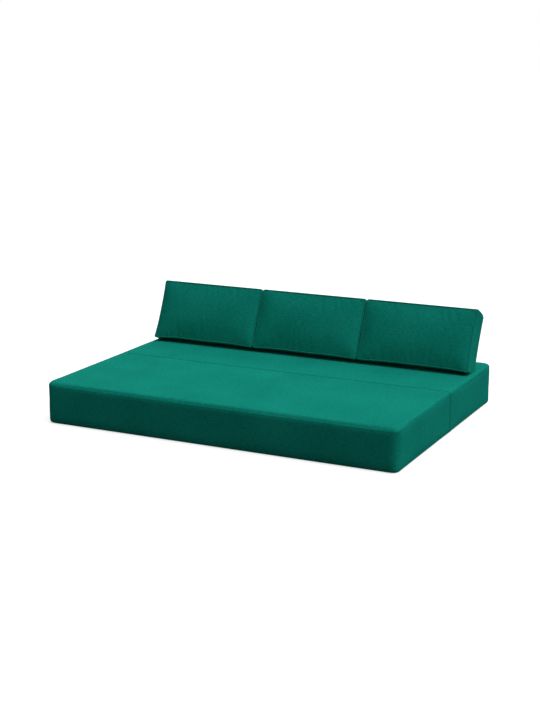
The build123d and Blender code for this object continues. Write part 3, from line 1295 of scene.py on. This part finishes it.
@dataclass
class FoldingBlock:
    """One upholstered foam block: its cover and the panel that closes it from below."""

    side: Side
    depth: float
    zip_place: ZipPlace
    width: float = 1.800
    height: float = 0.205
    corner_radius: float = 0.030
    top_radius: float = 0.015
    front_radius: float = 0.023
    foot_radius: float = 0.012
    seam_corner: float = 0.0014
    seam_y: float = 0.025
    half_gap: float = 0.0007
    skin: float = 0.0010
    floor_gap: float = 0.0002
    groove: float = 0.0004
    swell: float = 0.0020
    top_swell: float = 0.0007
    wander: float = 0.0011
    panel_inset: float = 0.005
    standing_row: tuple[float, float] = (0.330, 0.500)
    wall_levels: tuple[float, ...] = (
        0.029, 0.045, 0.054, 0.062, 0.070, 0.079, 0.095, 0.111, 0.127, 0.143, 0.157, 0.168, 0.176
    )
    cover: Object = field(init=False)

    @property
    def name(self) -> str:
        """Name that the block's pieces start with."""
        return self.side.name.lower()

    @property
    def seam_level(self) -> float:
        """Height of the seam that joins the top panel to the walls."""
        return self.height - self.top_radius - 0.006

    def ring_at(self, level: float, groove: float = 0.0, held: bool = False) -> Station:
        """Station at a level, drawn in by the rounded top edges.

        Args:
            level: Height over the floor.
            groove: How far a sewn groove draws it in as well.
            held: Whether the cloth is sewn there.

        Returns:
            The station.
        """
        top = self.height - self.skin
        outer_radius = self.front_radius if self.side is Side.FRONT else self.top_radius
        radii = (self.top_radius, outer_radius, self.seam_corner)
        ends, outer, near_seam = (arc_inset(r, level - (top - r)) + groove for r in radii)
        return Station(level, ends, *self.from_front(outer, near_seam), held)

    def from_front(self, outer: float, near_seam: float) -> tuple[float, float]:
        """Put the values of the outer wall and the seam wall in order, front to back."""
        return (outer, near_seam) if self.side is Side.FRONT else (near_seam, outer)

    def stations(self) -> list[Station]:
        """Rings of the loft, from the bottom to the top.

        Returns:
            Stations.
        """
        foot = self.foot_radius
        rings = []
        for angle in (0, 30, 60, 90):
            inset = foot * (1 - math.sin(math.radians(angle)))
            low, high = self.from_front(inset, min(inset, self.seam_corner))
            level = self.floor_gap + foot * (1 - math.cos(math.radians(angle)))
            rings.append(Station(level, inset, low, high, angle == 0))
        rings.extend(self.ring_at(level) for level in self.wall_levels)
        for step in (-1, 0, 1):
            groove = self.groove if step == 0 else 0.0
            rings.append(self.ring_at(self.seam_level + step * 0.0024, groove, held=True))
        top = self.height - self.skin
        for share in (0.0, 0.25, 0.45, 0.65, 0.85, 1.0):
            angle = share * math.pi / 2
            rings.append(self.ring_at(top - self.top_radius * (1 - math.sin(angle))))
        return rings

    def build_cover(self, room: FillingRoom) -> None:
        """Loft the block's form and hand it to the filling room.

        Args:
            room: Where the pieces are filled.
        """
        edge = self.seam_y + self.side.value * self.half_gap
        far = self.seam_y + self.side.value * (self.depth - self.skin)
        form = PadLoft(
            self.width / 2 - self.skin,
            *self.from_front(far, edge),
            112,
            round(self.depth / 0.016),
            *self.from_front(self.corner_radius, self.seam_corner),
            self.stations(),
        ).build()
        lay_out_cloth(form, 1.7 if self.side is Side.FRONT else 4.3)
        held = form.verts.layers.int["held"]
        panel = form.faces.layers.int["panel"]
        bottom = [face for face in form.faces if face[panel] == Face.FIRST_CAP.value]
        inset = bmesh.ops.inset_region(form, faces=bottom, thickness=self.panel_inset, use_even_offset=True)
        rim = set(inset["faces"])
        for face in bottom:
            if face.is_valid and face not in rim:
                face[panel] = Face.SEWN_PANEL.value
        room_by_vert: dict[int, float] = {}
        below = (Face.FIRST_CAP.value, Face.SEWN_PANEL.value)
        form.verts.index_update()
        form.normal_update()
        for vert in form.verts:
            resting = any(face[panel] in below for face in vert.link_faces)
            if not (self.zip_place.press(vert) or vert[held] or resting or self.stood_on(vert.co)):
                room_by_vert[vert.index] = self.freedom(vert)
        self.cover = link_mesh(f"{self.name}_block_cover", form)
        self.soften()
        room.take(self.cover, room_by_vert, pressure=3.5, slack=0.004)

    def stood_on(self, place: Vector) -> bool:
        """Whether the cushions stand on a place of the top."""
        low, high = self.standing_row
        return self.side is Side.REAR and place.z > self.height - 0.003 and low < place.y < high

    def freedom(self, vert: BMVert) -> float:
        """How far the filling may push the cloth out.

        Args:
            vert: Vertex of the form.

        Returns:
            Length, short on the top and where the blocks press on each other.
        """
        if -vert.normal.y * self.side.value > 0.7 and abs(vert.co.y - self.seam_y) < 0.006:
            return 0.0002
        near_seam = min(1.0, abs(vert.co.y - self.seam_y) / 0.05)
        return self.top_swell if vert.normal.z > 0.6 else self.swell * (0.25 + 0.75 * near_seam)

    def soften(self) -> None:
        """Let the cloth wander a little, less on the top and where it is pressed on."""
        normals = [vert.normal.copy() for vert in self.cover.data.vertices]
        for vert, normal in zip(self.cover.data.vertices, normals):
            if vert.co.z < 0.02 or self.zip_place.covers(vert.co) or self.stood_on(vert.co):
                continue
            near_seam = min(1.0, abs(vert.co.y - self.seam_y) / 0.03)
            share = near_seam * (0.35 if normal.z > 0.6 else 1.0)
            vert.co += normal * wandering(vert.co, 7.0, self.depth * 40) * self.wander * share

    def finish(self, finishes: Finishes) -> None:
        """Open the zip, part the bottom panel and dress both pieces.

        Args:
            finishes: The sofa's finishes.
        """
        self.zip_place.cut(self.cover)
        form = bmesh.new()
        form.from_mesh(self.cover.data)
        base = form.copy()
        for part in (base, form):
            panel = part.faces.layers.int["panel"]
            sewn = {face for face in part.faces if face[panel] == Face.SEWN_PANEL.value}
            others = set(part.faces) - sewn if part is base else sewn
            bmesh.ops.delete(part, geom=sorted(others, key=lambda face: face.index), context="FACES")
        form.to_mesh(self.cover.data)
        form.free()
        # Painted shade in the groove of the seam that runs round the top.
        paint_seam_shade(self.cover, lambda place: max(0.0, 1 - abs(place.z - self.seam_level) / 0.0025))
        subdivided(self.cover, 1)
        solids = (f"{self.name}_cover", f"{self.name}_wadding")
        finishes.attach(self.cover, "upholstery", f"{self.name}_block", *solids)
        self.finish_base(base, finishes)

    def finish_base(self, base: BMesh, finishes: Finishes) -> None:
        """Make the panel that closes the cover from below.

        Args:
            base: Faces of the panel.
            finishes: The sofa's finishes.
        """
        front = self.side is Side.FRONT
        piece = link_mesh("front_seat_cloth" if front else "rear_grip_cloth", base)
        # No painted seam shade on the bottom panel.
        paint_seam_shade(piece, lambda place: 0.0)
        slot, solid = ("upholstery", "front_seat_panel") if front else ("anti_slip_base", "rear_base_panel")
        finishes.attach(piece, slot, f"{self.name}_block", solid)
        log.info("%s sewn to %s", piece.name, self.cover.name)


@dataclass
class BoxCushion:
    """Box cushion that leans back: crowned front and back panels, a band between and two piped seams."""

    owner: str
    middle_x: float
    seed: float
    length: float = 0.582
    height: float = 0.306
    thickness: float = 0.124
    front_y: float = 0.335
    front_z: float = 0.230
    lean: float = math.radians(24.5)
    foot_z: float = 0.2055
    corner_radius: float = 0.0065
    front_radius: float = 0.004
    back_radius: float = 0.014
    end_radius: float = 0.010
    skin: float = 0.0012
    start_crown: float = 0.0140
    front_seam: float = 0.0024
    back_seam: float = 0.1195
    welt_radius: float = 0.0029
    welt_inset: float = 0.0008
    hem_wave: float = 0.0035
    hem_draw: float = 0.0040
    side_draw: float = 0.0026
    pressed_draw: float = 0.0006
    top_rise: float = 0.0036
    band_bulge: float = 0.0042
    ear: float = 0.0085
    foot_ear: float = 0.0060
    top_ear: float = 0.0030
    wander: float = 0.0016
    gather: float = 0.0009
    end_reach: float = 0.0022
    band_reach: float = 0.0042
    panel_reach: float = 0.0105
    free_end: int = 0
    cloth: Object = field(init=False)
    seam_rings: dict[str, list[Vector]] = field(init=False, default_factory=dict)

    @property
    def up(self) -> Vector:
        """Way up the cushion."""
        return Vector((0, math.sin(self.lean), math.cos(self.lean)))

    @property
    def back(self) -> Vector:
        """Way to the cushion's back."""
        return Vector((0, math.cos(self.lean), -math.sin(self.lean)))

    @property
    def place(self) -> Matrix:
        """Matrix from the cushion's own axes (length, height, depth) to the frame."""
        origin = Vector((self.middle_x, self.front_y, self.front_z))
        return axes_at(origin, Vector((1, 0, 0)), self.up, self.back)

    @property
    def zip_place(self) -> ZipPlace:
        """Zip in the back panel."""
        middle = self.place @ Vector((0, 0.074, self.thickness + 0.001))
        return ZipPlace(self.owner, self.owner, middle, Vector((-1, 0, 0)), self.back, 0.400)

    def ring_inset(self, depth: float) -> Station:
        """Station of the loft at a depth, drawn in by the rounded edges.

        Args:
            depth: Depth behind the front corners.

        Returns:
            The station.
        """
        front = arc_inset(self.front_radius, self.front_radius - depth)
        inset, ends = (
            front + arc_inset(radius, depth - (self.thickness - radius))
            for radius in (self.back_radius, self.end_radius)
        )
        held = depth in (self.front_seam, self.back_seam)
        return Station(depth, ends, inset, inset, held)

    def stations(self) -> list[Station]:
        """Rings of the loft, from the front panel's edge to the back panel's.

        Returns:
            Stations.
        """
        depths = [0.0004, 0.0012, self.front_seam, 0.0050, 0.010]
        depths += [0.010 + 0.0089 * step for step in range(1, 11)]
        depths += [0.106, 0.1125, 0.1165, self.back_seam, 0.1222]
        return [self.ring_inset(depth) for depth in depths]

    def crown(self, x: float, v: float) -> float:
        """How full the panels are at a place, from 0 at their seams to 1 in the middle.

        Args:
            x: Place along the cushion.
            v: Height on the cushion.

        Returns:
            Share of the crown.
        """
        across = max(0.0, 1 - abs(2 * x / self.length) ** 2.6)
        upright = max(0.0, 1 - abs(2 * v / self.height - 1) ** 2.4)
        return across**0.85 * upright

    def pucker(self, x: float, v: float) -> float:
        """Small gathers that a sewn edge draws in the panel beside it."""
        edge = min(self.length / 2 - abs(x), v, self.height - v)
        return wandering(Vector((x, v, 2.0)), 34.0, self.seed) * max(0.0, 1 - edge / 0.035)

    def draw_in(self, x: float, v: float, depth: float) -> tuple[float, float]:
        """Draw the sides in between the corners.

        Args:
            x: Place along the cushion.
            v: Height on the cushion.
            depth: Depth behind the front corners.

        Returns:
            New place along the cushion and new height.
        """
        half, middle = self.length / 2, self.height / 2
        along, rise = x / half, (v - middle) / middle
        between = math.sin(math.pi * min(1.0, max(0.0, depth / self.thickness)))
        outer = 1.0 if along * self.free_end > 0 else 0.0
        draw, full = (self.side_draw, -0.0004) if outer else (self.pressed_draw, 0.0011)
        out = (self.top_ear if rise > 0 else self.foot_ear) * (1 - depth / self.thickness) * outer
        pull = out * abs(rise) ** 4 - draw * (1 - rise**2) + full * between
        x += math.copysign(abs(along) ** 6, x) * pull
        if rise > 0:
            v += rise**6 * (self.top_rise + self.band_bulge * between * abs(along) ** 0.5)
        elif depth < self.thickness / 2:
            wave = wandering(Vector((x, 0.0, 0.0)), 5.5, self.seed)
            drawn = self.hem_draw * (1 - along**2) + self.hem_wave * wave * (1 - along**6)
            v += abs(rise) ** 6 * (drawn - self.ear * abs(along) ** 5 * (0.4 + 0.6 * outer))
        return x, v

    def build_cloth(self, room: FillingRoom) -> None:
        """Loft the cushion and hand it to the filling room.

        Args:
            room: Where the pieces are filled.
        """
        stations = self.stations()
        cap = stations[-1]
        low, high = self.skin, self.height - self.skin
        shrink = (high - low - 2 * cap.low) / (high - low)
        rows = ((7, 0.057), (8, 0.066), (9, 0.074), (10, 0.082), (11, 0.091))
        stops = [(row, low + (v - low - cap.low) / shrink) for row, v in rows]
        half, corner = self.length / 2 - self.skin, self.corner_radius
        form = PadLoft(half, low, high, 74, 38, corner, corner, stations, stops).build()
        lay_out_cloth(form, self.seed)
        held = form.verts.layers.int["held"]
        panel = form.faces.layers.int["panel"]
        for vert in form.verts:
            x, v, depth = vert.co
            caps = {face[panel] for face in vert.link_faces}
            x, v = self.draw_in(x, v, depth)
            if Face.WALL.value not in caps:
                swell = self.start_crown * self.crown(x, v)
                swell += self.wander * wandering(Vector((x, v, self.seed)), 9.0, self.seed)
                swell += self.gather * self.pucker(x, v)
                depth += swell if Face.LAST_CAP.value in caps else -swell
            vert.co = (x, v, depth)
        self.keep_rings(form)
        bmesh.ops.transform(form, matrix=self.place, verts=form.verts)
        bmesh.ops.recalc_face_normals(form, faces=form.faces)
        form.verts.index_update()
        zip_place = self.zip_place
        room_by_vert: dict[int, float] = {}
        for vert in form.verts:
            if vert.co.z < self.foot_z:
                vert.co.z = self.foot_z
                continue
            if zip_place.press(vert) or vert[held]:
                continue
            walls = all(face[panel] == Face.WALL.value for face in vert.link_faces)
            end = abs(vert.normal.x) > 0.5
            near_foot = min(1.0, (vert.co.z - self.foot_z) / 0.03)
            reach = self.end_reach if end else self.band_reach if walls else self.panel_reach
            room_by_vert[vert.index] = reach * max(near_foot, 0.02)
        self.cloth = link_mesh(f"{self.owner}_cloth", form)
        room.take(self.cloth, room_by_vert, pressure=5.0, slack=0.005)

    def sunk(self, point: Vector) -> Vector:
        """Place of the piping's middle, a little inside the cloth's edge."""
        x = point.x - math.copysign(self.welt_inset * abs(2 * point.x / self.length) ** 6, point.x)
        return Vector((x, point.y, point.z))

    def keep_rings(self, form: BMesh) -> None:
        """Keep the two sewn rings, in order, for the piping.

        Args:
            form: Mesh in the cushion's own axes.
        """
        ring = form.verts.layers.int["ring"]
        stations = self.stations()
        for name, depth in (("front_welt", self.front_seam), ("back_welt", self.back_seam)):
            number = next(i for i, station in enumerate(stations) if station.level == depth)
            loop = {vert for vert in form.verts if vert[ring] == number}
            vert = min(loop, key=lambda v: (v.co.y, v.co.x))
            ordered = []
            while vert:
                loop.remove(vert)
                ordered.append(vert)
                beside = [edge.other_vert(vert) for edge in vert.link_edges]
                vert = next((other for other in beside if other in loop), None)
            self.seam_rings[name] = [self.place @ self.sunk(v.co) for v in ordered]

    def finish(self, finishes: Finishes) -> None:
        """Open the zip, dress the cloth and sew the piping on.

        Args:
            finishes: The sofa's finishes.
        """
        self.zip_place.cut(self.cloth)
        # Painted shade along the piped seams.
        paint_seam_shade(self.cloth, self.seam_shade_share)
        subdivided(self.cloth, 1)
        parts = ("front_panel", "band", "back_panel", "wadding")
        finishes.attach(self.cloth, "upholstery", self.owner, *(f"{self.owner}_{part}" for part in parts))
        for name, ring in self.seam_rings.items():
            self.pipe(name, ring, finishes)

    def seam_shade_share(self, place: Vector) -> float:
        """How much painted shade darkens the cloth at a place, by how near it is to one of the piped seams.

        Args:
            place: Place in the frame.

        Returns:
            1 (full painted shade) on a seam, 0 away from it.
        """
        local = self.place.inverted() @ place
        on_panel = abs(local.x) < self.length / 2 - 0.010 and 0.010 < local.y < self.height - 0.010
        if on_panel:
            return 0.0
        return max(0.0, 1 - min(abs(local.z - self.front_seam), abs(local.z - self.back_seam)) / 0.004)

    def pipe(self, name: str, ring: list[Vector], finishes: Finishes) -> None:
        """Sew a round of piping into a seam.

        Args:
            name: Name of the welt.
            ring: Points of the seam.
            finishes: The sofa's finishes.
        """
        curve = bpy.data.curves.new(name, "CURVE")
        curve.dimensions = "3D"
        curve.bevel_depth = self.welt_radius
        curve.bevel_resolution = 2
        curve.resolution_u = 2
        spline = curve.splines.new("NURBS")
        spline.points.add(len(ring) - 1)
        for point, place in zip(spline.points, ring):
            lifted = Vector((place.x, place.y, max(place.z, self.foot_z + self.welt_radius)))
            point.co = (*lifted, 1)
        spline.order_u = 3
        spline.use_cyclic_u = True
        source = bpy.data.objects.new(name, curve)
        mesh = bpy.data.meshes.new_from_object(source)
        bpy.data.objects.remove(source)
        mesh.shade_smooth()
        piece = placed(f"{self.owner}_{name.replace('welt', 'piping')}", mesh)
        finishes.attach(piece, "seam_piping", self.owner, f"{self.owner}_{name}")


# Stage


@dataclass(frozen=True)
class SoftSun:
    """One wide, even lamp."""

    name: str
    toward: tuple[float, float, float]
    energy: float
    width: float

    def hang(self) -> None:
        """Add the lamp to the scene."""
        lamp = bpy.data.lights.new(self.name, "SUN")
        lamp.energy = self.energy
        lamp.angle = math.radians(self.width)
        holder = placed(self.name, lamp)
        holder.rotation_euler = Vector(self.toward).to_track_quat("Z", "Y").to_euler()


@dataclass(frozen=True)
class Studio:
    """White floor, soft light from above and the right, and the photograph's camera."""

    camera_place: tuple[float, float, float] = (2.937, -6.054, 1.923)
    yaw: float = -26.07
    pitch: float = 13.84
    lens: float = 70.75
    sky: float = 0.22
    floor_white: float = 0.60
    floor_dim: float = 0.14
    floor_glow: float = 0.66
    suns: tuple[SoftSun, ...] = (
        SoftSun("soft_right", (0.62, 0.03, 0.78), 1.86, 45),
        SoftSun("soft_rear", (-0.05, 0.72, 0.70), 0.66, 22),
        SoftSun("soft_overhead", (0.0, 0.0, 1.0), 0.62, 40),
    )

    def light(self) -> None:
        """Set the world and the lamps."""
        world = bpy.data.worlds.new("white_studio")
        bpy.context.scene.world = world
        sketch = NodeSketch(world)
        sketch.tree.nodes.remove(sketch.tree.nodes["Background"])
        skies = [
            sketch.add("ShaderNodeBackground", {0: (1, 1, 1), 1: strength}).outputs[0]
            for strength in (self.sky, 1.0)
        ]
        self.show(sketch, *skies, "World Output")
        for sun in self.suns:
            sun.hang()

    @staticmethod
    def show(sketch: NodeSketch, lighting: NodeSocket, seen: NodeSocket, output: str) -> None:
        """Let rays that show a backdrop itself find it brighter than the rays that it lights.

        Args:
            sketch: Node tree of the backdrop.
            lighting: Shader for the rays that it lights.
            seen: Shader for the rays that show it.
            output: Name of the output node.
        """
        rays = sketch.add("ShaderNodeLightPath").outputs
        factor = sketch.number("MAXIMUM", rays["Is Camera Ray"], rays["Is Glossy Ray"])
        factor = sketch.number("MAXIMUM", factor, rays["Is Transmission Ray"])
        mix = sketch.add("ShaderNodeMixShader", {0: factor, 1: lighting, 2: seen})
        sketch.feed(sketch.tree.nodes[output].inputs[0], mix.outputs[0])

    def lay_floor(self) -> None:
        """Lay a wide floor that looks white and keeps a soft shadow."""
        form = bmesh.new()
        bmesh.ops.create_grid(form, x_segments=1, y_segments=1, size=40.0)
        floor = link_mesh("studio_floor", form)
        sketch = NodeSketch(bpy.data.materials.new("white_floor"))
        sketch.tree.nodes.remove(sketch.tree.nodes["Principled BSDF"])
        white, dim = (
            sketch.add("ShaderNodeBsdfDiffuse", {0: (grey, grey, grey)}).outputs[0]
            for grey in (self.floor_white, self.floor_dim)
        )
        glow = sketch.add("ShaderNodeEmission", {1: self.floor_glow}).outputs[0]
        bright = sketch.add("ShaderNodeAddShader", {0: white, 1: glow}).outputs[0]
        self.show(sketch, dim, bright, "Material Output")
        floor.data.materials.append(sketch.owner)

    def set_camera(self) -> None:
        """Put the camera where the photograph was taken from."""
        data = bpy.data.cameras.new("photo_camera")
        data.lens = self.lens
        data.clip_end = 200
        camera = placed("photo_camera", data)
        camera.location = self.camera_place
        camera.rotation_euler = (math.radians(90 - self.pitch), 0, math.radians(-self.yaw))
        bpy.context.scene.camera = camera
        bpy.context.scene.view_settings.view_transform = "Standard"


def main() -> None:
    """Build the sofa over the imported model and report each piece."""
    logging.basicConfig(level=logging.INFO, format="%(name)s: %(message)s")
    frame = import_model()
    studio = Studio()
    studio.set_camera()
    studio.light()
    studio.lay_floor()
    finishes = Finishes()
    finishes.dress_frame(frame)
    left, forward, backward = Vector((-1, 0, 0)), Vector((0, -1, 0)), Vector((0, 1, 0))
    front_zip = ZipPlace("front", "front_block", Vector((-0.892, -0.3125, 0.062)), forward, left, 0.520)
    rear_zip = ZipPlace("rear", "rear_block", Vector((0, 0.642, 0.062)), left, backward, 1.500)
    blocks = [FoldingBlock(Side.FRONT, 0.675, front_zip), FoldingBlock(Side.REAR, 0.625, rear_zip)]
    owners = ("left_cushion", "middle_cushion", "right_cushion")
    cushions = [
        BoxCushion(owner, (i - 1) * 0.5855, 7.1 + 3.3 * i, top_ear=(0.003, 0.0, 0.012)[i], free_end=i - 1)
        for i, owner in enumerate(owners)
    ]
    room = FillingRoom()
    for block in blocks:
        block.build_cover(room)
    for cushion in cushions:
        cushion.build_cloth(room)
    room.run()
    for block in blocks:
        block.finish(finishes)
    for cushion in cushions:
        cushion.finish(finishes)
    for zip_place in (front_zip, rear_zip, *(cushion.zip_place for cushion in cushions)):
        Fastener(zip_place, finishes).build()
    FabricHinge().build(finishes)


if __name__ == "__main__":
    main()
